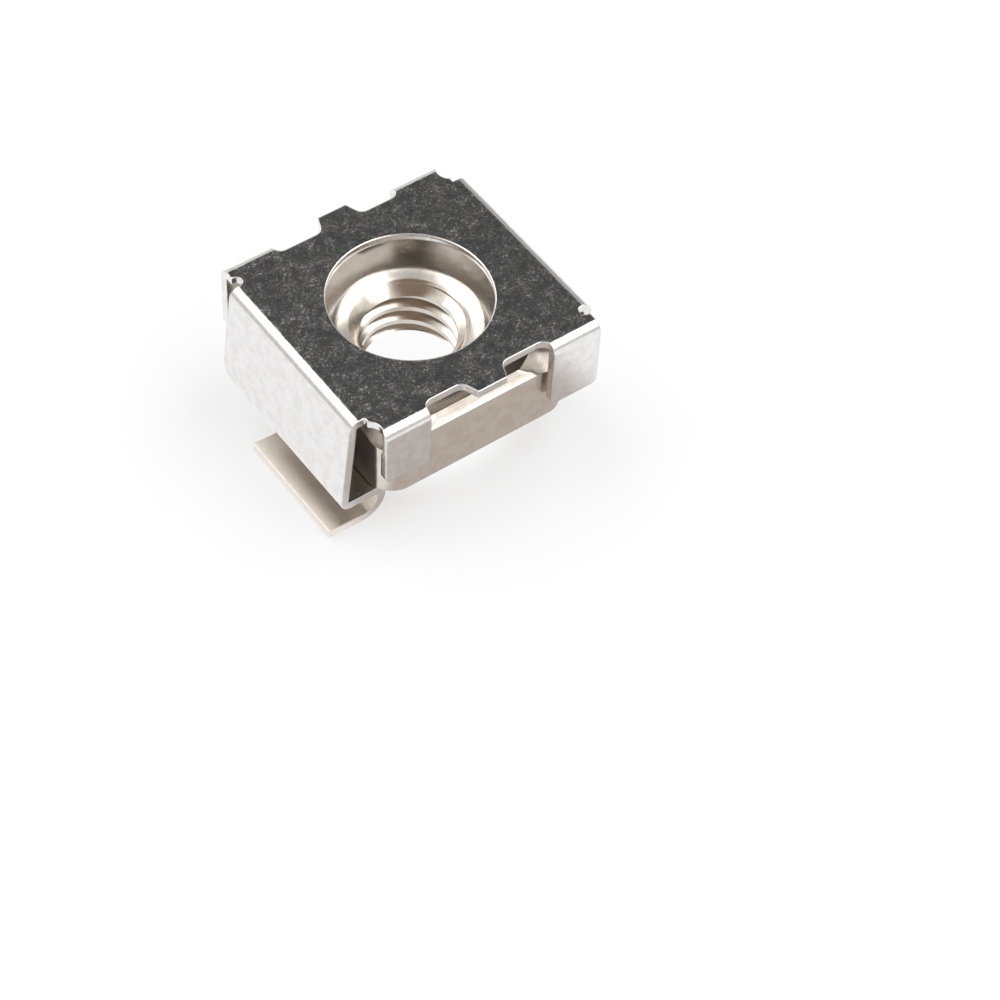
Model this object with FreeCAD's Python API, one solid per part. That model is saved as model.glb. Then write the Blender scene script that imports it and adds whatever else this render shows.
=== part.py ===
import FreeCAD, Part
import math
import os

os.makedirs("parts", exist_ok=True)

V = FreeCAD.Vector

# Driving sizes, in millimetres. The origin is on the thread axis at the level
# that the cage stands on; +Z runs from the wings up to the cage plate.
SHEET = 0.45            # spring steel thickness of the cage
PLATE_TOP = 8.0         # top face of the cage plate
HOLE_D = 8.6            # clearance hole in the cage plate
PLATE_X = 6.78          # half width between the wall bend tangents
PLATE_Y = 6.46          # half length between the tab bend tangents
WALL_BEND = 0.65        # outer radius of the plate to wall bend
WALL_LEAN = 5.3         # outward lean of each wall, degrees
WALL_END = 5.42         # wall end that is flush with the wing
WALL_FAR = 5.45         # wall end beyond the wing
WALL_CORNER = 0.8       # rounding of that wall's free bottom corner
SHELF_TOP = 2.02        # upper face of the inward shelf, which carries the nut
SHELF_BEND = 0.6        # outer radius of the wall to shelf bend
SHELF_END = 4.6         # end of shelf and neck on the far side
NECK_X = 5.2            # innermost reach of the neck
NECK_UPPER = 0.54       # outer radius of the neck above its innermost line
FLANGE_X = 8.65         # reach of the hooked flange
FLANGE_END = 1.6        # end of the flange along the wing
FLANGE_RISE = 3.0       # upward tilt of the flange, degrees
NECK_CUT_X = 6.2        # edge of the neck where it carries no flange
TAB_BEND = 0.55         # outer radius of the plate to tab bend
TAB_INNER = 3.6         # shorter tab's side next to its notch
TAB_LONG_INNER = 3.95   # longer tab's side next to its notch
TAB_SHORT_X = 6.3       # outer side of the shorter tab
TAB_LONG_X = 6.85       # outer side of the longer tab
TAB_SHORT_Z = 4.4       # bottom edge of the shorter tab
TAB_LONG_Z = 3.7        # bottom edge of the longer tab
TAB_CORNER = 0.35       # rounding of the tab bottom corners
TONGUE_X = 0.87         # half width of the flat tongue at its tip
TONGUE_Y = 7.15         # reach of the tongue
TONGUE_BASE = 1.25      # half width of the tongue where it leaves the plate
NOTCH_Y = 6.2           # how far from the axis the notches reach
NOTCH_R = 0.5           # rounding of the notch corners
RELIEF_R = 0.75         # round relief beside the shorter tab
RELIEF_OUT = 0.62       # its centre beyond the shorter tab's side
RELIEF_ALONG = 0.9      # its centre beyond the end of the wall
RELIEF_LAND = 0.2       # plate left beyond the shorter tab's side
SLIT_R = 0.31           # round ended slit beside the longer tab
NUT_GAP = 0.25          # clearance between the nut and each tab
NUT_SEAT = 0.05         # how far the nut's flat foot reaches onto each shelf
NUT_H = 4.1             # height of the nut
NUT_CORNER = 1.5        # rounding of the nut's upright edges
NUT_FACE_R = 6.4        # radius of the flat face above the corner cone
NUT_CONE = 30.0         # slope of that cone, degrees
NUT_BEVEL = 0.5         # bevel along the nut's upper edges
NUT_FOOT = 0.1          # bevel around the nut's bottom edge
THREAD_D = 6.0          # nominal thread, M6 x 1
THREAD_PITCH = 1.0      # the bore is the thread less one pitch
SINK_OVER = 0.1         # countersinks beyond the nominal thread, on the radius
DISH_R = 3.9            # outer radius of the shallow dish around the upper mouth
DISH_DROP = 0.24        # depth of that dish where the upper countersink starts
DISH_SWELL = 0.03       # how far the dish bulges from a straight cone

HALF = SHEET / 2.0
NUT_X = NECK_X + NECK_UPPER + NUT_SEAT + NUT_FOOT
NUT_Y = PLATE_Y + TAB_BEND - SHEET - NUT_GAP
SHELF_FOOT = SHELF_TOP - SHEET
WALL_FOOT = SHELF_FOOT + SHELF_BEND
TAB_ROOT = PLATE_TOP - TAB_BEND
TONGUE_ROOT = TONGUE_BASE + NOTCH_R
BORE_R = (THREAD_D - THREAD_PITCH) / 2
SINK_R = THREAD_D / 2 + SINK_OVER
CLEAR = 30.0            # reach of a cut that runs out of the part
OVER = 1.0              # overrun of a cut past a face


def strip(start, heading, moves):
    """Face in a plane (u, w) around a tangent centreline, one sheet thick.

    A move is ("line", length) or ("arc", radius, degrees), where positive
    degrees turn left. Returns the boundary as edges in (u, w, 0)."""
    left, right = [], []
    point, angle = V(start[0], start[1], 0), math.radians(heading)

    def side(p, a, s):
        return p + V(-math.sin(a), math.cos(a), 0) * (s * HALF)

    ends = [(side(point, angle, 1), side(point, angle, -1))]
    for move in moves:
        if move[0] == "line":
            nxt = point + V(math.cos(angle), math.sin(angle), 0) * move[1]
            for s, out in ((1, left), (-1, right)):
                out.append(Part.makeLine(side(point, angle, s), side(nxt, angle, s)))
            point = nxt
        else:
            turn = math.radians(move[2])
            sign = 1 if turn > 0 else -1
            centre = point + V(-math.sin(angle), math.cos(angle), 0) * (sign * move[1])

            def at(a, c=centre, r=move[1], k=sign):
                return c + V(math.sin(a), -math.cos(a), 0) * (k * r)

            for s, out in ((1, left), (-1, right)):
                pts = [side(at(a), a, s) for a in (angle, angle + turn / 2, angle + turn)]
                out.append(Part.Arc(*pts).toShape())
            point, angle = at(angle + turn), angle + turn
    ends.append((side(point, angle, 1), side(point, angle, -1)))
    caps = [Part.makeLine(a, b) for a, b in ends]
    return Part.Face(Part.Wire(Part.__sortEdges__(left + right + caps)))


def upright(face, axis):
    """Turn a face drawn in (u, w) so that u runs along the axis and w along +Z."""
    face = face.copy()
    face.rotate(V(0, 0, 0), V(1, 0, 0), 90)
    if axis == "y":
        face.rotate(V(0, 0, 0), V(0, 0, 1), 90)
    return face


def block(x0, x1, y0, y1, z0, z1):
    return Part.makeBox(x1 - x0, y1 - y0, z1 - z0, V(x0, y0, z0))


def upright_edges(shape):
    """The straight edges of a shape that run along Z."""
    return [e for e in shape.Edges if abs(e.tangentAt(e.FirstParameter).z) > 0.999
            and isinstance(e.Curve, Part.Line)]


def half_turn(shape):
    """A shape and its copy turned half round the thread axis."""
    other = shape.copy()
    other.rotate(V(0, 0, 0), V(0, 0, 1), 180)
    return [shape, other]


def wing():
    """Wall, shelf, neck and hooked flange on the +X side."""
    bend = WALL_BEND - HALF
    down = 90 - WALL_LEAN
    lean = math.radians(WALL_LEAN)
    shelf_z = SHELF_TOP - HALF
    foot = SHELF_BEND - HALF
    wall_x = PLATE_X + bend * math.cos(lean)
    wall_z = PLATE_TOP - HALF - bend * (1 - math.sin(lean))
    drop = wall_z - (shelf_z + foot * (1 + math.sin(lean)))
    wall = drop / math.cos(lean)
    end_x = wall_x + wall * math.sin(lean) - foot * math.cos(lean)
    upper = NECK_UPPER - HALF
    neck_z = shelf_z - upper
    lower = neck_z - HALF
    shelf = end_x - (NECK_X + HALF + upper)
    reach = FLANGE_X - (NECK_X + HALF + lower)
    tilt = math.radians(FLANGE_RISE)
    face = strip((PLATE_X, PLATE_TOP - HALF), 0, [
        ("arc", bend, -down),
        ("line", wall),
        ("arc", foot, -(180 - down)),
        ("line", shelf),
        ("arc", upper, 90),
        ("arc", lower, 90 + FLANGE_RISE),
        ("line", (reach - lower * math.sin(tilt)) / math.cos(tilt)),
    ])
    body = upright(face, "x")
    body.translate(V(0, WALL_END, 0))
    body = body.extrude(V(0, -(WALL_END + WALL_FAR), 0))
    # On this side the far end of the wing is the one towards -Y.
    under = block(0, CLEAR, -CLEAR, -SHELF_END, -OVER, WALL_FOOT)
    centre = V(0, -WALL_FAR + WALL_CORNER, WALL_FOOT + WALL_CORNER)
    corner = block(0, CLEAR, -WALL_FAR - OVER, centre.y, WALL_FOOT, centre.z)
    corner = corner.cut(Part.makeCylinder(WALL_CORNER, CLEAR, centre, V(1, 0, 0)))
    hook = block(NECK_CUT_X, CLEAR, -CLEAR, -FLANGE_END, -OVER, SHELF_FOOT - HALF)
    return body.cut(under).cut(corner).cut(hook)


def side_tabs():
    """The two tabs on the -Y side, with the bend between them left to the notches."""
    bend = TAB_BEND - HALF
    face = strip((PLATE_Y, PLATE_TOP - HALF), 0, [
        ("arc", bend, -90),
        ("line", TAB_ROOT - TAB_LONG_Z),
    ])
    body = upright(face, "y")
    body.translate(V(-TAB_SHORT_X, 0, 0))
    body = body.extrude(V(TAB_SHORT_X + TAB_LONG_X, 0, 0))
    body = body.mirror(V(0, 0, 0), V(0, 1, 0))
    body = body.cut(block(-CLEAR, 0, -CLEAR, 0, -OVER, TAB_SHORT_Z))
    body = body.cut(block(-TAB_INNER, TAB_LONG_INNER, -CLEAR, 0, -OVER, TAB_ROOT))
    body = body.cut(block(-TONGUE_ROOT, TONGUE_ROOT, -CLEAR, 0, TAB_ROOT, PLATE_TOP))
    across = [e for e in body.Edges if abs(e.tangentAt(e.FirstParameter).y) > 0.999]
    lowest = (TAB_SHORT_Z, TAB_LONG_Z)
    ends = [e for e in across if min(abs(e.BoundBox.ZMin - z) for z in lowest) < 0.01]
    return body.makeFillet(TAB_CORNER, ends)


def notches():
    """The two openings on the -Y side, which leave the flat tongue between them."""
    cuts = []
    for side, tab in ((-1, TAB_INNER), (1, TAB_LONG_INNER)):
        corners = [V(side * tab, -NOTCH_Y, 0), V(side * TONGUE_BASE, -NOTCH_Y, 0),
                   V(side * TONGUE_X, -TONGUE_Y, 0), V(side * TONGUE_X, -TONGUE_Y - OVER, 0),
                   V(side * tab, -TONGUE_Y - OVER, 0)]
        face = Part.Face(Part.makePolygon(corners + corners[:1]))
        face.translate(V(0, 0, TAB_ROOT))
        cut = face.extrude(V(0, 0, TAB_BEND + OVER))
        inner = [e for e in upright_edges(cut) if abs(e.Vertexes[0].Y + NOTCH_Y) < 0.01]
        cuts.append(cut.makeFillet(NOTCH_R, inner))
    return cuts


def corner_cuts():
    """The round relief and the slit that part the walls from the tabs."""
    low, high = PLATE_TOP - WALL_BEND - OVER, PLATE_TOP + OVER
    round_at = V(-TAB_SHORT_X - RELIEF_OUT, -WALL_END - RELIEF_ALONG, low)
    slit_at = V(PLATE_X, -WALL_END - SLIT_R, low)
    return [
        Part.makeCylinder(RELIEF_R, high - low, round_at),
        block(-CLEAR, -TAB_SHORT_X - RELIEF_LAND, -CLEAR, -WALL_END, low, high),
        Part.makeCylinder(SLIT_R, high - low, slit_at),
        block(PLATE_X, CLEAR, slit_at.y - SLIT_R, slit_at.y + SLIT_R, low, high),
    ]


def spring_cage():
    """The cage, folded from one sheet."""
    low = PLATE_TOP - SHEET
    plate = block(-PLATE_X, PLATE_X, -PLATE_Y, PLATE_Y, low, PLATE_TOP)
    ear = block(0, TAB_LONG_X, -PLATE_Y, -WALL_END, low, PLATE_TOP)
    tongue = block(-TONGUE_ROOT, TONGUE_ROOT, -TONGUE_Y, 0, low, PLATE_TOP)
    pieces = [ear, tongue, wing(), side_tabs()]
    body = plate.multiFuse([p for piece in pieces for p in half_turn(piece)])
    cuts = [c for cut in notches() + corner_cuts() for c in half_turn(cut)]
    cuts.append(Part.makeCylinder(HOLE_D / 2, SHEET + 2 * OVER, V(0, 0, low - OVER)))
    return body.cut(Part.makeCompound(cuts)).removeSplitter()


def mouth_cut(top):
    """The upper mouth as a turned body: a shallow convex dish over a countersink."""
    rim = V(DISH_R, 0, top)
    sink = V(SINK_R, 0, top - DISH_DROP)
    bore = V(BORE_R, 0, sink.z - (SINK_R - BORE_R))
    across = rim - sink
    bulge = V(-across.z, 0, across.x).normalize() * DISH_SWELL
    dish = Part.Arc(sink, (sink + rim) / 2 + bulge, rim).toShape()
    axis_low, axis_high = V(0, 0, bore.z), V(0, 0, top)
    lines = [Part.makeLine(a, b) for a, b in
             ((bore, sink), (rim, axis_high), (axis_high, axis_low), (axis_low, bore))]
    face = Part.Face(Part.Wire(Part.__sortEdges__(lines + [dish])))
    return face.revolve(V(0, 0, 0), V(0, 0, 1), 360)


def square_nut():
    """The nut block with its corner cone, bore, dished mouth and lower countersink."""
    foot = SHELF_TOP
    top = foot + NUT_H
    body = block(-NUT_X, NUT_X, -NUT_Y, NUT_Y, foot, top)
    body = body.makeFillet(NUT_CORNER, upright_edges(body))
    bottom = [e for e in body.Edges if e.BoundBox.ZMax < foot + 0.01]
    body = body.makeChamfer(NUT_FOOT, bottom)
    upper = [e for e in body.Edges if e.BoundBox.ZMin > top - 0.01]
    body = body.makeChamfer(NUT_BEVEL, upper)
    spread = NUT_H / math.tan(math.radians(NUT_CONE))
    body = body.common(Part.makeCone(NUT_FACE_R + spread, NUT_FACE_R, NUT_H, V(0, 0, foot)))
    body = body.cut(Part.makeCylinder(BORE_R, NUT_H + 2 * OVER, V(0, 0, foot - OVER)))
    body = body.cut(Part.makeCone(SINK_R, BORE_R, SINK_R - BORE_R, V(0, 0, foot)))
    return body.cut(mouth_cut(top))


for name, shape in (("spring_cage", spring_cage()), ("square_nut", square_nut())):
    solids = shape.Solids
    shape = solids[0] if len(solids) == 1 else shape
    print(name, "solids", len(solids), "valid", shape.isValid(), "volume", round(shape.Volume, 2),
          "box", shape.BoundBox)
    shape.exportStep("parts/%s.step" % name)
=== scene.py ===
"""Dresses the rack cage nut: plated finishes, the threaded block, the studio and the camera."""

from __future__ import annotations

import logging
import math
from dataclasses import dataclass
from enum import Enum
from typing import Any, Sequence

import bmesh
import bpy
import numpy as np
from mathutils import Matrix, Vector

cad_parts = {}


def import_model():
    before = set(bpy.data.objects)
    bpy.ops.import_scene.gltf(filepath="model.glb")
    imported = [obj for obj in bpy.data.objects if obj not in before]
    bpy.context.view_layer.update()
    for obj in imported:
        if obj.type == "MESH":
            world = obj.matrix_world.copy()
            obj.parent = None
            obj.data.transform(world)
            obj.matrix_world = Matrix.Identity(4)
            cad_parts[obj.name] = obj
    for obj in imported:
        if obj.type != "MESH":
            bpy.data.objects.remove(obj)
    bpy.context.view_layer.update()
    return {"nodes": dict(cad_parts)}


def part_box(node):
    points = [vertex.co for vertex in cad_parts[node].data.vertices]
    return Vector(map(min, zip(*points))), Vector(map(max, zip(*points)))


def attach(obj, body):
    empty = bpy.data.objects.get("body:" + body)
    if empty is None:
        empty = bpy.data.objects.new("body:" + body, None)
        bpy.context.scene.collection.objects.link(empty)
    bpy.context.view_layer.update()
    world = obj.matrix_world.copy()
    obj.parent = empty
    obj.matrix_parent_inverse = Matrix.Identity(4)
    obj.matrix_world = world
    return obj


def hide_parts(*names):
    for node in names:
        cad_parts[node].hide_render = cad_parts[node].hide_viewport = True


LOG = logging.getLogger("cage_nut")
MM = 0.001
ROOT = "root"
CAGE_NODE = "spring_cage"
NUT_NODE = "square_nut"
WHITE = (1.0, 1.0, 1.0)


class Wire:
    """An output socket that takes part in Python expressions on values."""

    def __init__(self, tree: Tree, socket: bpy.types.NodeSocket) -> None:
        """Keep the socket and the tree that it belongs to."""
        self.tree = tree
        self.socket = socket

    def _math(self, operation: str, *values: Wire | float) -> Wire:
        """Add a Math node.

        Args:
            operation: The node's operation.
            values: Its inputs, in order.

        Returns:
            The node's value.
        """
        inputs = {index: value for index, value in enumerate(values)}
        return self.tree.add("ShaderNodeMath", {"operation": operation}, inputs)

    def __add__(self, other: Wire | float) -> Wire:
        """Sum."""
        return self._math("ADD", self, other)

    __radd__ = __add__

    def __sub__(self, other: Wire | float) -> Wire:
        """Difference."""
        return self._math("SUBTRACT", self, other)

    def __rsub__(self, other: Wire | float) -> Wire:
        """Difference, with the number first."""
        return self._math("SUBTRACT", other, self)

    def __mul__(self, other: Wire | float) -> Wire:
        """Product."""
        return self._math("MULTIPLY", self, other)

    __rmul__ = __mul__

    def __pow__(self, other: Wire | float) -> Wire:
        """Power."""
        return self._math("POWER", self, other)

    def high(self, other: Wire | float) -> Wire:
        """The larger of two values."""
        return self._math("MAXIMUM", self, other)

    def size(self) -> Wire:
        """The value without its sign."""
        return self._math("ABSOLUTE", self)

    def step(self, start: float, end: float) -> Wire:
        """Rise smoothly from 0 at start to 1 at end.

        Args:
            start: The value where the rise begins.
            end: The value where it is complete.

        Returns:
            The share, from 0 to 1.
        """
        settings = {"interpolation_type": "SMOOTHSTEP", "clamp": True}
        inputs = {"Value": self, "From Min": start, "From Max": end}
        return self.tree.add("ShaderNodeMapRange", settings, inputs)


class Tree:
    """The nodes of one material or of the world."""

    def __init__(self, tree: bpy.types.NodeTree) -> None:
        """Empty the tree and keep it."""
        self.tree = tree
        tree.nodes.clear()

    def add(self, kind: str, settings: dict[str, Any] | None = None,
            inputs: dict[int | str, Any] | None = None, output: int | str = 0) -> Wire:
        """Add one node.

        Args:
            kind: The node's type.
            settings: Its properties, which are set first.
            inputs: A value or a wire for each socket, by name or number.
            output: The output to hand back.

        Returns:
            That output as a wire.
        """
        node = self.tree.nodes.new(kind)
        for name, value in (settings or {}).items():
            setattr(node, name, value)
        for name, value in (inputs or {}).items():
            if isinstance(value, Wire):
                self.tree.links.new(value.socket, node.inputs[name])
            else:
                node.inputs[name].default_value = value
        return Wire(self, node.outputs[output] if node.outputs else node.inputs[0])

    def place(self) -> Wire:
        """The point on the object, in millimetres in the part's own frame."""
        point = self.add("ShaderNodeTexCoord", output="Object")
        return self.add("ShaderNodeVectorMath", {"operation": "SCALE"}, {0: point, "Scale": 1 / MM})

    def stretch(self, vector: Wire, scale: tuple[float, float, float]) -> Wire:
        """A vector with each of its axes scaled."""
        return self.add("ShaderNodeVectorMath", {"operation": "MULTIPLY"}, {0: vector, 1: scale})

    def parts(self, vector: Wire) -> tuple[Wire, Wire, Wire]:
        """The three numbers of a vector."""
        split = self.add("ShaderNodeSeparateXYZ", inputs={0: vector})
        outputs = split.socket.node.outputs
        return tuple(Wire(self, outputs[axis]) for axis in "XYZ")

    def noise(self, vector: Wire, scale: float, detail: float = 2.0, rough: float = 0.5) -> Wire:
        """Smooth noise.

        Args:
            vector: Where it is read.
            scale: Its waves for each unit of the vector.
            detail: How many finer layers it has.
            rough: How strong those layers are.

        Returns:
            Its value, near 0.5 on average.
        """
        inputs = {"Vector": vector, "Scale": scale, "Detail": detail, "Roughness": rough}
        return self.add("ShaderNodeTexNoise", inputs=inputs)

    def mix(self, share: Wire | float, first: Any, second: Any) -> Wire:
        """A colour between two others.

        Args:
            share: 0 for the first and 1 for the second.
            first: A colour or a wire.
            second: A colour or a wire.

        Returns:
            The mixed colour.
        """
        inputs = {0: share, 6: first, 7: second}
        return self.add("ShaderNodeMix", {"data_type": "RGBA"}, inputs, output=2)


def rgba(colour: tuple[float, float, float]) -> tuple[float, float, float, float]:
    """A colour with full opacity."""
    return (*colour, 1.0)


class Grain(Enum):
    """How the steel under the plating was worked."""

    ROLLED = "rolled"
    TURNED = "turned"


@dataclass(frozen=True)
class Plating:
    """Nickel plating over worked steel.

    Lengths are in millimetres, apart from the bump heights, which are in micrometres. A pair of
    numbers called a range is where a share begins to rise and where it is complete.
    """

    name: str
    grain: Grain
    bright: tuple[float, float, float] = (0.755, 0.735, 0.71)
    dull: tuple[float, float, float] = (0.70, 0.675, 0.645)
    dull_range: tuple[float, float] = (0.38, 0.66)
    metal: float = 0.98
    rough: float = 0.15
    least_rough: float = 0.06
    rough_spread: float = 0.28
    pit_rough: float = 0.05
    pit_range: tuple[float, float] = (0.45, 0.75)
    foot_range: tuple[float, float] = (1.0, 1.8)
    foot_rough: float = 0.0
    # Painted reflection: a warmer base colour towards the foot, standing in for the warm
    # surroundings that the flange mirrors.
    foot_reflection_tint: tuple[float, float, float] = (0.755, 0.735, 0.71)
    scratch_share: float = 0.0
    scratch_colour: tuple[float, float, float] = (0.50, 0.465, 0.43)
    scratch_length: float = 2.2
    scratch_width: float = 0.07
    scratch_range: tuple[float, float] = (0.66, 0.78)
    scratch_turns: tuple[tuple[float, float, float], ...] = ((0.0, -0.5, 1.2), (0.0, 0.45, -1.0))
    patch: float = 0.6
    speck: float = 0.12
    speck_height: float = 6.5
    wave_height: float = 14.0
    wave_scale: float = 0.9
    grain_height: float = 2.0
    rolled_stretch: tuple[float, float, float] = (1.0, 9.0, 4.0)
    rolled_scale: float = 1.6
    turned_scale: float = 9.0
    soft_edge: float = 0.0
    soft_samples: int = 8

    def build(self) -> bpy.types.Material:
        """Make the material.

        Returns:
            The finished material.
        """
        material = bpy.data.materials.new(self.name)
        material.use_nodes = True
        tree = Tree(material.node_tree)
        point = tree.place()
        patches = tree.noise(point, 1 / self.patch, 3.0, 0.6)
        fine = tree.noise(point, 1 / self.speck, 3.0, 0.65)
        colour = tree.mix(patches.step(*self.dull_range), rgba(self.bright), rgba(self.dull))
        pits = fine.step(*self.pit_range) * self.pit_rough
        foot = 1.0 - tree.parts(point)[2].step(*self.foot_range)
        rough = self.rough + self.rough_spread * (patches + fine - 1.0) + pits
        rough = rough + foot * self.foot_rough
        # Painted reflection: towards the foot the base colour turns warmer, standing in for warm
        # surroundings mirrored by the flange.
        colour = tree.mix(foot, colour, rgba(self.foot_reflection_tint))
        if self.scratch_share:
            marks = self._scratches(tree, point) * self.scratch_share
            colour = tree.mix(marks, colour, rgba(self.scratch_colour))
        inputs = {
            "Base Color": colour,
            "Metallic": self.metal,
            "Roughness": rough.high(self.least_rough),
            "Normal": self._relief(tree, point, fine),
        }
        surface = tree.add("ShaderNodeBsdfPrincipled", inputs=inputs)
        tree.add("ShaderNodeOutputMaterial", inputs={"Surface": surface})
        return material

    def _scratches(self, tree: Tree, point: Wire) -> Wire:
        """Fine scratches from handling, in two directions.

        Args:
            tree: The material's nodes.
            point: The point on the object in millimetres.

        Returns:
            1 in a scratch and 0 beside it.
        """
        size = (self.scratch_length, self.scratch_width, self.scratch_width)
        marks = []
        for turn in self.scratch_turns:
            inputs = {"Vector": point, "Rotation": turn, "Scale": size}
            turned = tree.add("ShaderNodeMapping", {"vector_type": "TEXTURE"}, inputs)
            marks.append(tree.noise(turned, 1.0, 1.0).step(*self.scratch_range))
        return marks[0].high(marks[1])

    def _relief(self, tree: Tree, point: Wire, fine: Wire) -> Wire:
        """The unevenness of the surface.

        Args:
            tree: The material's nodes.
            point: The point on the object in millimetres.
            fine: The noise of the specks.

        Returns:
            The bumped normal.
        """
        waves = tree.noise(point, self.wave_scale, 1.0)
        if self.grain is Grain.ROLLED:
            lines = tree.noise(tree.stretch(point, self.rolled_stretch), self.rolled_scale, 2.0)
        else:
            x, y, z = tree.parts(point)
            radius = (x * x + y * y) ** 0.5
            flat = tree.add("ShaderNodeCombineXYZ",
                            inputs={0: radius * self.turned_scale, 1: z * self.turned_scale})
            lines = tree.noise(flat, 1.0, 2.0)
        height = (fine * self.speck_height + waves * self.wave_height
                  + lines * self.grain_height)
        inputs = {"Height": height, "Distance": 1e-6, "Strength": 1.0}
        if self.soft_edge:
            settings = {"samples": self.soft_samples}
            inputs["Normal"] = tree.add("ShaderNodeBevel", settings, {"Radius": self.soft_edge * MM})
        return tree.add("ShaderNodeBump", inputs=inputs)


def mesh_piece(name: str, points: Sequence[Sequence[float]],
               faces: Sequence[Sequence[int]]) -> bpy.types.Object:
    """Make a mesh object in the scene.

    Args:
        name: The piece's name.
        points: Its points, in metres.
        faces: The corner numbers of each face.

    Returns:
        The new object.
    """
    mesh = bpy.data.meshes.new(name)
    mesh.from_pydata([tuple(p) for p in points], [], [tuple(f) for f in faces])
    mesh.update()
    piece = bpy.data.objects.new(name, mesh)
    bpy.context.scene.collection.objects.link(piece)
    return piece


def tidy_mesh(mesh: bpy.types.Mesh, merge: float, crease: float) -> None:
    """Merge doubled points, turn every face outwards and mark the creases.

    Args:
        mesh: The mesh to change.
        merge: The distance under which points merge, in metres.
        crease: The angle over which an edge stays sharp, in degrees.
    """
    shape = bmesh.new()
    shape.from_mesh(mesh)
    bmesh.ops.remove_doubles(shape, verts=shape.verts, dist=merge)
    bmesh.ops.dissolve_degenerate(shape, edges=shape.edges, dist=merge)
    bmesh.ops.recalc_face_normals(shape, faces=shape.faces)
    shape.to_mesh(mesh)
    shape.free()
    mesh.polygons.foreach_set("use_smooth", [True] * len(mesh.polygons))
    mesh.set_sharp_from_angle(angle=math.radians(crease))
    mesh.update()


def closed_volume(mesh: bpy.types.Mesh) -> float:
    """The volume that a closed mesh holds.

    Args:
        mesh: The mesh, with its faces turned outwards.

    Returns:
        The volume in cubic metres.
    """
    shape = bmesh.new()
    shape.from_mesh(mesh)
    volume = shape.calc_volume(signed=True)
    shape.free()
    return volume


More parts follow.
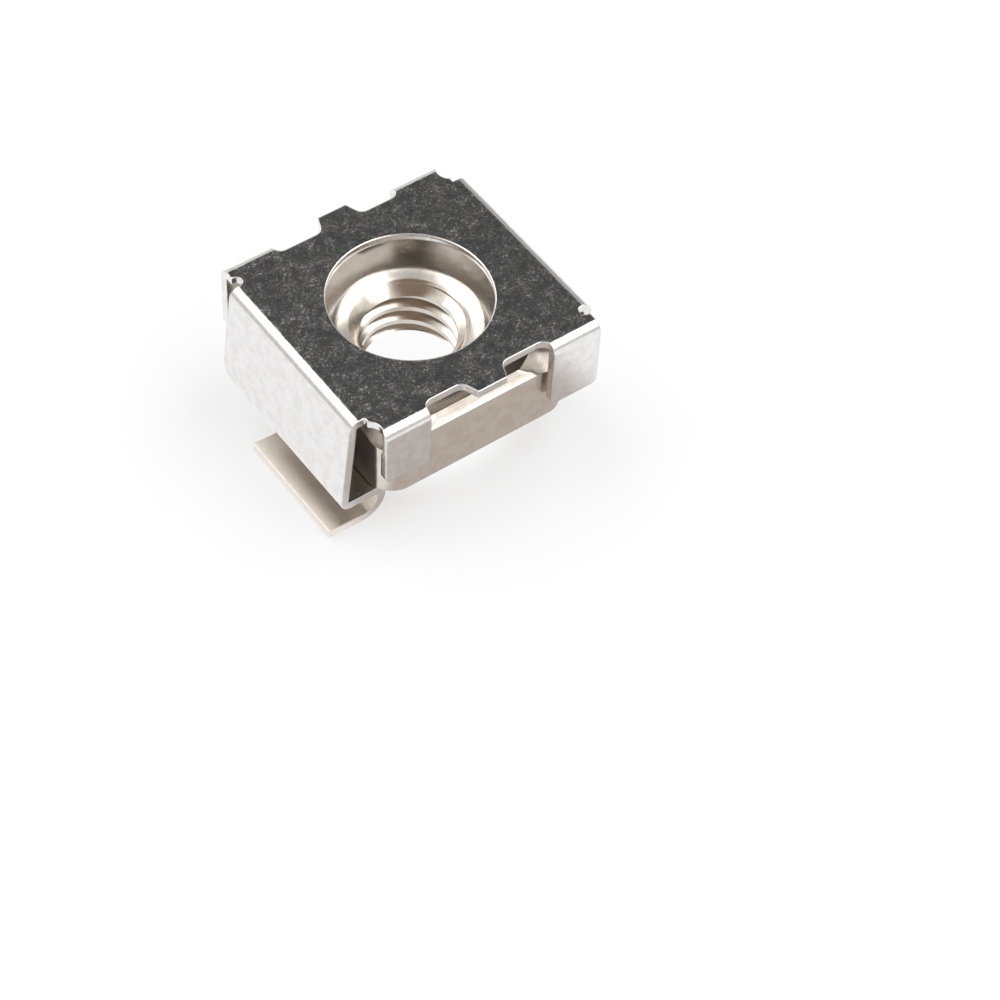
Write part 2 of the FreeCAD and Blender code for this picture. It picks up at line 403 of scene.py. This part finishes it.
@dataclass
class ThreadedBlock:
    """The nut: a block with a corner cone, countersinks and a real screw thread.

    Lengths are in millimetres and angles in degrees, and merge is in metres. The half sizes and
    levels come from the solid that it stands for.
    """

    half_x: float
    half_y: float
    foot: float
    top: float
    corner: float = 1.5
    face_radius: float = 6.4
    cone_slope: float = 30.0
    bevel: float = 0.5
    foot_bevel: float = 0.1
    nominal: float = 6.0
    pitch: float = 1.0
    phase: float = 0.55
    sink: float = 3.1
    dish: float = 3.9
    dish_drop: float = 0.24
    dish_swell: float = 0.03
    dish_steps: int = 10
    rim_round: float = 0.05
    least_gap: float = 0.01
    core_depth: float = 0.4
    flank: float = 30.0
    halvings: int = 24
    least_share: float = 0.8
    merge: float = 1e-7
    uncut_crease: float = 20.0
    cut_crease: float = 22.0
    columns: int = 360

    @classmethod
    def from_node(cls, node: str) -> ThreadedBlock:
        """Read the sizes that the solid gives.

        Args:
            node: The solid's name.

        Returns:
            The block.
        """
        low, high = (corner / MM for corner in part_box(node))
        return cls(half_x=high.x, half_y=high.y, foot=low.z, top=high.z)

    @property
    def bore(self) -> float:
        """The radius of the bore at the thread's crests."""
        return (self.nominal - self.pitch) / 2

    def outline(self, angle: float, inset: float = 0.0) -> float:
        """Reach of the block's outline, which is a rectangle with round corners.

        Args:
            angle: The direction, in radians.
            inset: How far inside the outline.

        Returns:
            The distance from the axis.
        """
        a, b = self.half_x - inset, self.half_y - inset
        radius = self.corner - inset
        c, s = abs(math.cos(angle)), abs(math.sin(angle))
        flat = min(a / max(c, 1e-9), b / max(s, 1e-9))
        centre = (a - radius, b - radius)
        if flat * c <= centre[0] or flat * s <= centre[1]:
            return flat
        along = centre[0] * c + centre[1] * s
        return along + math.sqrt(max(radius ** 2 - centre[0] ** 2 - centre[1] ** 2 + along ** 2, 0))

    def crown(self, angle: float, reach: float) -> float:
        """Level of the upper surface at a point.

        Args:
            angle: The direction, in radians.
            reach: The distance from the axis.

        Returns:
            The level of the flat face, the corner cone or the edge bevel, whichever is lowest.
        """
        cone = self.top - (reach - self.face_radius) * math.tan(math.radians(self.cone_slope))
        low, high = 0.0, self.bevel
        if self.outline(angle, self.bevel) >= reach:
            return min(self.top, cone)
        for _ in range(self.halvings):
            middle = (low + high) / 2
            if self.outline(angle, middle) > reach:
                low = middle
            else:
                high = middle
        return min(self.top, cone, self.top - self.bevel + low)

    def crease(self, angle: float) -> float:
        """Where the corner cone meets the edge bevel, as a distance from the axis."""
        low = min(self.face_radius, self.outline(angle, self.bevel))
        high = self.outline(angle)
        slope = math.tan(math.radians(self.cone_slope))
        for _ in range(self.halvings):
            middle = (low + high) / 2
            cone = self.top - max(middle - self.face_radius, 0.0) * slope
            if self.crown(angle, middle) < cone - 1e-6:
                high = middle
            else:
                low = middle
        return (low + high) / 2

    def upper_mouth(self) -> list[tuple[float, float]]:
        """Distance and level of the points from the bore up the countersink and the dish."""
        brink = self.top - self.dish_drop
        section = [(self.bore, brink - (self.sink - self.bore))]
        across, rise = self.dish - self.sink, self.dish_drop
        length = math.hypot(across, rise)
        for step in range(self.dish_steps + 1):
            share = step / self.dish_steps
            bulge = 4 * share * (1 - share) * self.dish_swell / length
            section.append((self.sink + across * share - rise * bulge,
                            brink + rise * share + across * bulge))
        return section

    def rings(self, angle: float) -> list[tuple[float, float]]:
        """The block's section in one direction.

        Args:
            angle: The direction, in radians.

        Returns:
            Distance and level of each point, from the upper mouth outwards, down and back in.
        """
        edge, soft = self.outline(angle), self.rim_round
        flat = min(self.face_radius, self.outline(angle, self.bevel))
        crease = max(self.crease(angle), flat + self.least_gap)
        crease = min(crease, edge - soft - self.least_gap)
        brink = self.crown(angle, edge - soft)
        section = [(flat, self.top)]
        section += [(r, self.crown(angle, r)) for r in ((flat + crease) / 2, crease)]
        section += [(r, self.crown(angle, r)) for r in ((crease + edge - soft) / 2, edge - soft)]
        section += [(edge - soft * 0.3, brink - soft * 0.55), (edge, brink - 2 * soft)]
        section += [(edge, self.foot + self.foot_bevel)]
        section += [(self.outline(angle, self.foot_bevel), self.foot)]
        section += [(self.sink + soft, self.foot), (self.sink, self.foot + soft)]
        section += [(self.bore, self.foot + self.sink - self.bore)]
        return section + self.upper_mouth()

    def body(self) -> bpy.types.Object:
        """The block with a plain bore."""
        points: list[tuple[float, float, float]] = []
        for column in range(self.columns):
            angle = 2 * math.pi * column / self.columns
            c, s = math.cos(angle) * MM, math.sin(angle) * MM
            points += [(r * c, r * s, z * MM) for r, z in self.rings(angle)]
        rows = len(points) // self.columns
        faces = []
        for column in range(self.columns):
            here, following = column * rows, (column + 1) % self.columns * rows
            for row in range(rows):
                after = (row + 1) % rows
                faces.append((here + row, following + row, following + after, here + after))
        return mesh_piece("threaded_block", points, faces)

    def tap(self) -> bpy.types.Object:
        """The body that the thread is cut with: one ridge wound round a core."""
        major, core = self.nominal / 2, self.bore - self.core_depth
        height = (major - core) * math.tan(math.radians(self.flank))
        crest = self.pitch / 8
        profile = [
            (core, 0.0), (major, height), (major, height + crest), (core, 2 * height + crest),
        ]
        turns = math.ceil((self.top - self.foot) / self.pitch) + 3
        start = self.foot + (self.phase - 1.5) * self.pitch
        per_turn = len(profile)
        points = []
        for row in range(turns * per_turn):
            radius, rise = profile[row % per_turn]
            for column in range(self.columns):
                share = column / self.columns
                angle = 2 * math.pi * share
                level = start + self.pitch * (row // per_turn + share) + rise
                points.append((radius * math.cos(angle) * MM, radius * math.sin(angle) * MM,
                               level * MM))
        faces = []
        count = self.columns
        last = turns * per_turn - per_turn - 1
        for row in range(last):
            for column in range(count):
                if column + 1 < count:
                    right = (row * count + column + 1, (row + 1) * count + column + 1)
                else:
                    right = ((row + per_turn) * count, (row + per_turn + 1) * count)
                faces.append((row * count + column, right[0], right[1], (row + 1) * count + column))
        faces += self._caps(points, count, per_turn, last)
        return mesh_piece("thread_tap", points, faces)

    @staticmethod
    def _caps(points: list[tuple[float, float, float]], count: int, per_turn: int,
              last: int) -> list[tuple[int, ...]]:
        """Close both ends of the tap, which lie clear of the block.

        Args:
            points: The tap's points, which get the middle of each end.
            count: How many columns there are.
            per_turn: How many rows one turn has.
            last: The topmost row that has faces under it.

        Returns:
            The faces of both ends.
        """
        faces = []
        for row in (0, last):
            loop = [row * count + column for column in range(count)]
            loop += [(row + step) * count for step in range(per_turn, 0, -1)]
            middle = np.mean([points[index] for index in loop], axis=0)
            points.append((0.0, 0.0, float(middle[2])))
            centre = len(points) - 1
            for index, corner in enumerate(loop):
                faces.append((corner, loop[(index + 1) % len(loop)], centre))
        return faces

    def build(self, finish: Plating) -> bpy.types.Object:
        """Cut the thread into the block and dress it.

        Args:
            finish: The block's plating.

        Returns:
            The finished piece.
        """
        block, tap = self.body(), self.tap()
        for piece in (block, tap):
            tidy_mesh(piece.data, self.merge, self.uncut_crease)
        uncut = closed_volume(block.data)
        cut = block.modifiers.new("thread", "BOOLEAN")
        cut.operation = "DIFFERENCE"
        cut.solver = "EXACT"
        cut.object = tap
        graph = bpy.context.evaluated_depsgraph_get()
        mesh = bpy.data.meshes.new_from_object(block.evaluated_get(graph))
        block.modifiers.clear()
        block.data = mesh
        bpy.data.objects.remove(tap)
        tidy_mesh(mesh, self.merge, self.cut_crease)
        if not self.least_share * uncut < closed_volume(mesh) < uncut:
            raise RuntimeError("the thread was not cut into the block")
        mesh.materials.clear()
        mesh.materials.append(finish.build())
        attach(block, ROOT)
        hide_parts(NUT_NODE)
        return block


@dataclass
class SpringCage:
    """The folded cage: its solid's shape with the rim of the plate's hole rounded.

    The other cut edges stay sharp in the mesh, because rounding folds the short ones round the
    reliefs over each other. The plating softens them in its shading. Lengths are in millimetres
    and angles in degrees, and merge is in metres.
    """

    node: bpy.types.Object
    edge_round: float = 0.08
    edge_steps: int = 4
    hole: float = 4.3
    hole_slack: float = 0.03
    plate_foot: float = 7.4
    cut_angle: float = 55.0
    sharp_angle: float = 22.0
    merge: float = 1e-6
    flat_angle: float = 0.5

    def _is_rim(self, edge: bmesh.types.BMEdge) -> bool:
        """Tell whether a cut edge lies round the plate's hole.

        Args:
            edge: An edge of the cage.

        Returns:
            True for an edge of either rim of the hole.
        """
        if not edge.is_manifold or edge.calc_face_angle() <= math.radians(self.cut_angle):
            return False
        points = [vert.co / MM for vert in edge.verts]
        return all(abs(math.hypot(point.x, point.y) - self.hole) < self.hole_slack
                   and point.z > self.plate_foot for point in points)

    def build(self, finish: Plating) -> bpy.types.Object:
        """Copy the solid's mesh, round the hole's rim and dress it.

        Args:
            finish: The sheet's plating.

        Returns:
            The finished piece.
        """
        mesh = bpy.data.meshes.new("rounded_cage")
        shape = bmesh.new()
        shape.from_mesh(self.node.data)
        shape.transform(self.node.matrix_world)
        bmesh.ops.remove_doubles(shape, verts=shape.verts, dist=self.merge)
        bmesh.ops.dissolve_limit(shape, verts=shape.verts, edges=shape.edges,
                                 angle_limit=math.radians(self.flat_angle))
        rims = [edge for edge in shape.edges if self._is_rim(edge)]
        bmesh.ops.bevel(shape, geom=rims, offset=self.edge_round * MM, offset_type="OFFSET",
                        segments=self.edge_steps, profile=0.5, affect="EDGES", clamp_overlap=False)
        bmesh.ops.recalc_face_normals(shape, faces=shape.faces)
        shape.to_mesh(mesh)
        shape.free()
        mesh.polygons.foreach_set("use_smooth", [True] * len(mesh.polygons))
        mesh.set_sharp_from_angle(angle=math.radians(self.sharp_angle))
        mesh.materials.append(finish.build())
        piece = bpy.data.objects.new("rounded_cage", mesh)
        bpy.context.scene.collection.objects.link(piece)
        piece.modifiers.new("normals", "WEIGHTED_NORMAL").keep_sharp = True
        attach(piece, ROOT)
        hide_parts(CAGE_NODE)
        return piece


@dataclass(frozen=True)
class SoftBox:
    """A round patch of the studio, bright or dark, as seen from the object.

    The patch is whole within the inner angle and gone beyond the outer one, both in degrees.
    """

    towards: tuple[float, float, float]
    inner: float
    outer: float
    colour: tuple[float, float, float]

    def inside(self, tree: Tree, towards: Wire) -> Wire:
        """How far a direction lies inside the patch.

        Args:
            tree: The world's nodes.
            towards: The direction from the object.

        Returns:
            1 within the inner angle and 0 beyond the outer one.
        """
        length = math.dist(self.towards, (0, 0, 0))
        aim = tuple(part / length for part in self.towards)
        cosine = tree.add("ShaderNodeVectorMath", {"operation": "DOT_PRODUCT"},
                          {0: towards, 1: aim}, output="Value")
        return cosine.step(math.cos(math.radians(self.outer)), math.cos(math.radians(self.inner)))


@dataclass(frozen=True)
class LightStrip:
    """A long bright strip of the studio, which a bend of the sheet mirrors along its length.

    The numbers are parts of the unit direction from the object to the strip.
    """

    along_x: bool
    place: float
    half: float
    fade: float
    end: float
    level: float


@dataclass(frozen=True)
class Studio:
    """Pale floor and soft light all round, with painted light and shade in the floor.

    The lamps and strips fade out below a height, so that the plate mirrors none of them in the low
    views. The inner and outer numbers of the floor are distances in millimetres.
    """

    low_colour: tuple[float, float, float] = (0.72, 0.70, 0.67)
    high_colour: tuple[float, float, float] = (1.05, 1.05, 1.05)
    high_height: float = 0.9
    strips: tuple[LightStrip, ...] = (
        LightStrip(True, 0.49, 0.17, 0.12, 0.22, 2.6),
        LightStrip(False, 0.39, 0.17, 0.12, 0.3, 2.4),
    )
    lamps: tuple[SoftBox, ...] = (
        SoftBox((0.68, 0.03, 0.73), 17.0, 25.0, (3.0, 3.0, 3.0)),
        SoftBox((0.43, -0.05, 0.90), 12.0, 17.0, (3.0, 3.0, 3.0)),
        SoftBox((-0.04, 0.71, 0.70), 13.0, 23.0, (2.4, 2.4, 2.4)),
    )
    lamp_low: float = 0.50
    lamp_high: float = 0.58
    boxes: tuple[SoftBox, ...] = (
        SoftBox((0.8, 0.5, 0.25), 18.0, 30.0, (0.5, 0.5, 0.5)),
        SoftBox((0.05, 0.07, 0.99), 7.0, 17.0, (0.62, 0.66, 0.69)),
        SoftBox((-0.34, -0.42, 0.84), 17.0, 32.0, (0.22, 0.15, 0.11)),
        SoftBox((0.41, 0.51, 0.76), 14.0, 17.0, (0.045, 0.047, 0.05)),
    )
    floor_reach: float = 3.0
    floor_colour: tuple[float, float, float] = (0.86, 0.865, 0.88)
    floor_share: float = 0.62
    # Painted light: near the part's axis the floor glows more for the camera, which lightens the
    # shadow under the nut.
    under_glow_share: float = 0.95
    under_inner: float = 4.5
    under_outer: float = 7.0
    mirrored_share: float = 0.9
    mirrored: tuple[float, float, float] = (1.15, 1.17, 1.21)
    # Painted shade: reflections see the floor darker in a round patch in front of the part, where
    # nothing stands.
    shaded: tuple[float, float, float] = (0.58, 0.54, 0.52)
    shade_centre: tuple[float, float] = (0.5, -9.5)
    shade_inner: float = 6.5
    shade_outer: float = 9.5

    def build(self) -> None:
        """Make the world and the floor."""
        self._sky()
        self._floor()

    def _sky(self) -> None:
        """Light the object from a sky of soft patches, which the camera sees as white."""
        world = bpy.data.worlds.new("studio")
        bpy.context.scene.world = world
        world.use_nodes = True
        tree = Tree(world.node_tree)
        towards = tree.add("ShaderNodeTexCoord", output="Generated")
        x, y, height = tree.parts(towards)
        light = tree.mix(height.step(0.0, self.high_height), rgba(self.low_colour),
                         rgba(self.high_colour))
        raised = height.step(self.lamp_low, self.lamp_high)
        for strip in self.strips:
            along, across = (x, y) if strip.along_x else (y, x)
            beside = (across - strip.place).size().step(strip.half, strip.half + strip.fade)
            beyond = along.step(strip.end - strip.fade, strip.end)
            inside = (1.0 - beside) * (1.0 - beyond) * raised
            light = tree.mix(inside, light, rgba((strip.level,) * 3))
        for lamp in self.lamps:
            light = tree.mix(lamp.inside(tree, towards) * raised, light, rgba(lamp.colour))
        for box in self.boxes:
            light = tree.mix(box.inside(tree, towards), light, rgba(box.colour))
        seen = tree.add("ShaderNodeLightPath", output="Is Camera Ray")
        backdrop = tree.mix(seen, light, rgba(WHITE))
        surface = tree.add("ShaderNodeBackground", inputs={"Color": backdrop})
        tree.add("ShaderNodeOutputWorld", inputs={"Surface": surface})

    def _floor(self) -> None:
        """Lay a pale floor that stays near white and keeps the object's shadow, save for a painted
        glow under the nut; reflections see a painted shade patch in front of the part.
        """
        reach = self.floor_reach
        corners = [(-reach, -reach, 0), (reach, -reach, 0), (reach, reach, 0), (-reach, reach, 0)]
        floor = mesh_piece("floor", corners, [(0, 1, 2, 3)])
        material = bpy.data.materials.new("pale_floor")
        material.use_nodes = True
        tree = Tree(material.node_tree)
        paper = tree.add("ShaderNodeBsdfDiffuse", inputs={"Color": rgba(self.floor_colour)})
        path = tree.add("ShaderNodeLightPath")
        rays = path.socket.node.outputs
        camera = Wire(tree, rays["Is Camera Ray"])
        glossy = Wire(tree, rays["Is Glossy Ray"])
        x, y, _ = tree.parts(tree.place())
        # Painted shade: a round patch in front of the part that only reflections see darker.
        across, along = x - self.shade_centre[0], y - self.shade_centre[1]
        distance = (across * across + along * along) ** 0.5
        clear = distance.step(self.shade_inner, self.shade_outer)
        # Painted light: the camera sees more white glow near the axis, filling in the shadow under
        # the nut.
        outside = ((x * x + y * y) ** 0.5).step(self.under_inner, self.under_outer)
        seen = self.under_glow_share + (self.floor_share - self.under_glow_share) * outside
        mirrored = tree.mix(clear, rgba(self.shaded), rgba(self.mirrored))
        shine = tree.mix(glossy, rgba(WHITE), mirrored)
        glow = tree.add("ShaderNodeEmission", inputs={"Color": shine})
        through = Wire(tree, rays["Is Transmission Ray"])
        share = (camera.high(through) * seen).high(glossy * self.mirrored_share)
        surface = tree.add("ShaderNodeMixShader", inputs={0: share, 1: paper, 2: glow})
        tree.add("ShaderNodeOutputMaterial", inputs={"Surface": surface})
        floor.data.materials.append(material)


@dataclass(frozen=True)
class PhotoCamera:
    """The photograph's camera.

    Angles are in degrees. The offsets and the distance are in millimetres, in the camera's own
    directions, from the middle of the plate's hole.
    """

    azimuth: float = -38.769
    elevation: float = 51.157
    roll: float = 3.563
    right: float = 4.543
    up: float = -10.339
    distance: float = 151.977
    level: float = 8.0
    lens: float = 108.0
    sensor: float = 36.0

    def build(self) -> bpy.types.Object:
        """Make the camera and look through it.

        Returns:
            The camera.
        """
        a, e, r = (math.radians(v) for v in (self.azimuth, self.elevation, self.roll))
        back = Vector((math.sin(a) * math.cos(e), -math.cos(a) * math.cos(e), math.sin(e)))
        level = Vector((math.cos(a), math.sin(a), 0.0))
        upward = back.cross(level)
        right = math.cos(r) * level + math.sin(r) * upward
        up = math.cos(r) * upward - math.sin(r) * level
        place = right * self.right + up * self.up + back * self.distance
        place += Vector((0, 0, self.level))
        data = bpy.data.cameras.new("photo_camera")
        data.lens = self.lens
        data.sensor_width = self.sensor
        data.clip_start, data.clip_end = 0.01, 20.0
        camera = bpy.data.objects.new("photo_camera", data)
        turn = Matrix((right, up, back)).transposed().to_4x4()
        camera.matrix_world = Matrix.Translation(place * MM) @ turn
        bpy.context.scene.collection.objects.link(camera)
        bpy.context.scene.camera = camera
        return camera


def report(pieces: Sequence[bpy.types.Object]) -> None:
    """Log what each piece holds.

    Args:
        pieces: The finished pieces.
    """
    for piece in pieces:
        LOG.info("%s: %d points, %d faces", piece.name, len(piece.data.vertices),
                 len(piece.data.polygons))


def main() -> None:
    """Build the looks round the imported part."""
    logging.basicConfig(level=logging.INFO, format="%(name)s %(message)s")
    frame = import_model()
    bpy.context.scene.view_settings.view_transform = "Standard"
    # The sheet's warm foot colour is a painted reflection, not the plating's own tone.
    sheet = Plating("plated_sheet", Grain.ROLLED, foot_rough=0.25, foot_reflection_tint=(0.79, 0.735, 0.665),
                    scratch_share=0.4, soft_edge=0.09)
    machined = Plating("plated_block", Grain.TURNED, bright=(0.71, 0.65, 0.58),
                       dull=(0.65, 0.585, 0.51), foot_reflection_tint=(0.71, 0.65, 0.58), metal=0.9,
                       rough=0.17, rough_spread=0.12,
                       speck_height=2.0)
    cage = SpringCage(frame["nodes"][CAGE_NODE]).build(sheet)
    nut = ThreadedBlock.from_node(NUT_NODE).build(machined)
    Studio().build()
    PhotoCamera().build()
    report([cage, nut])


if __name__ == "__main__":
    main()
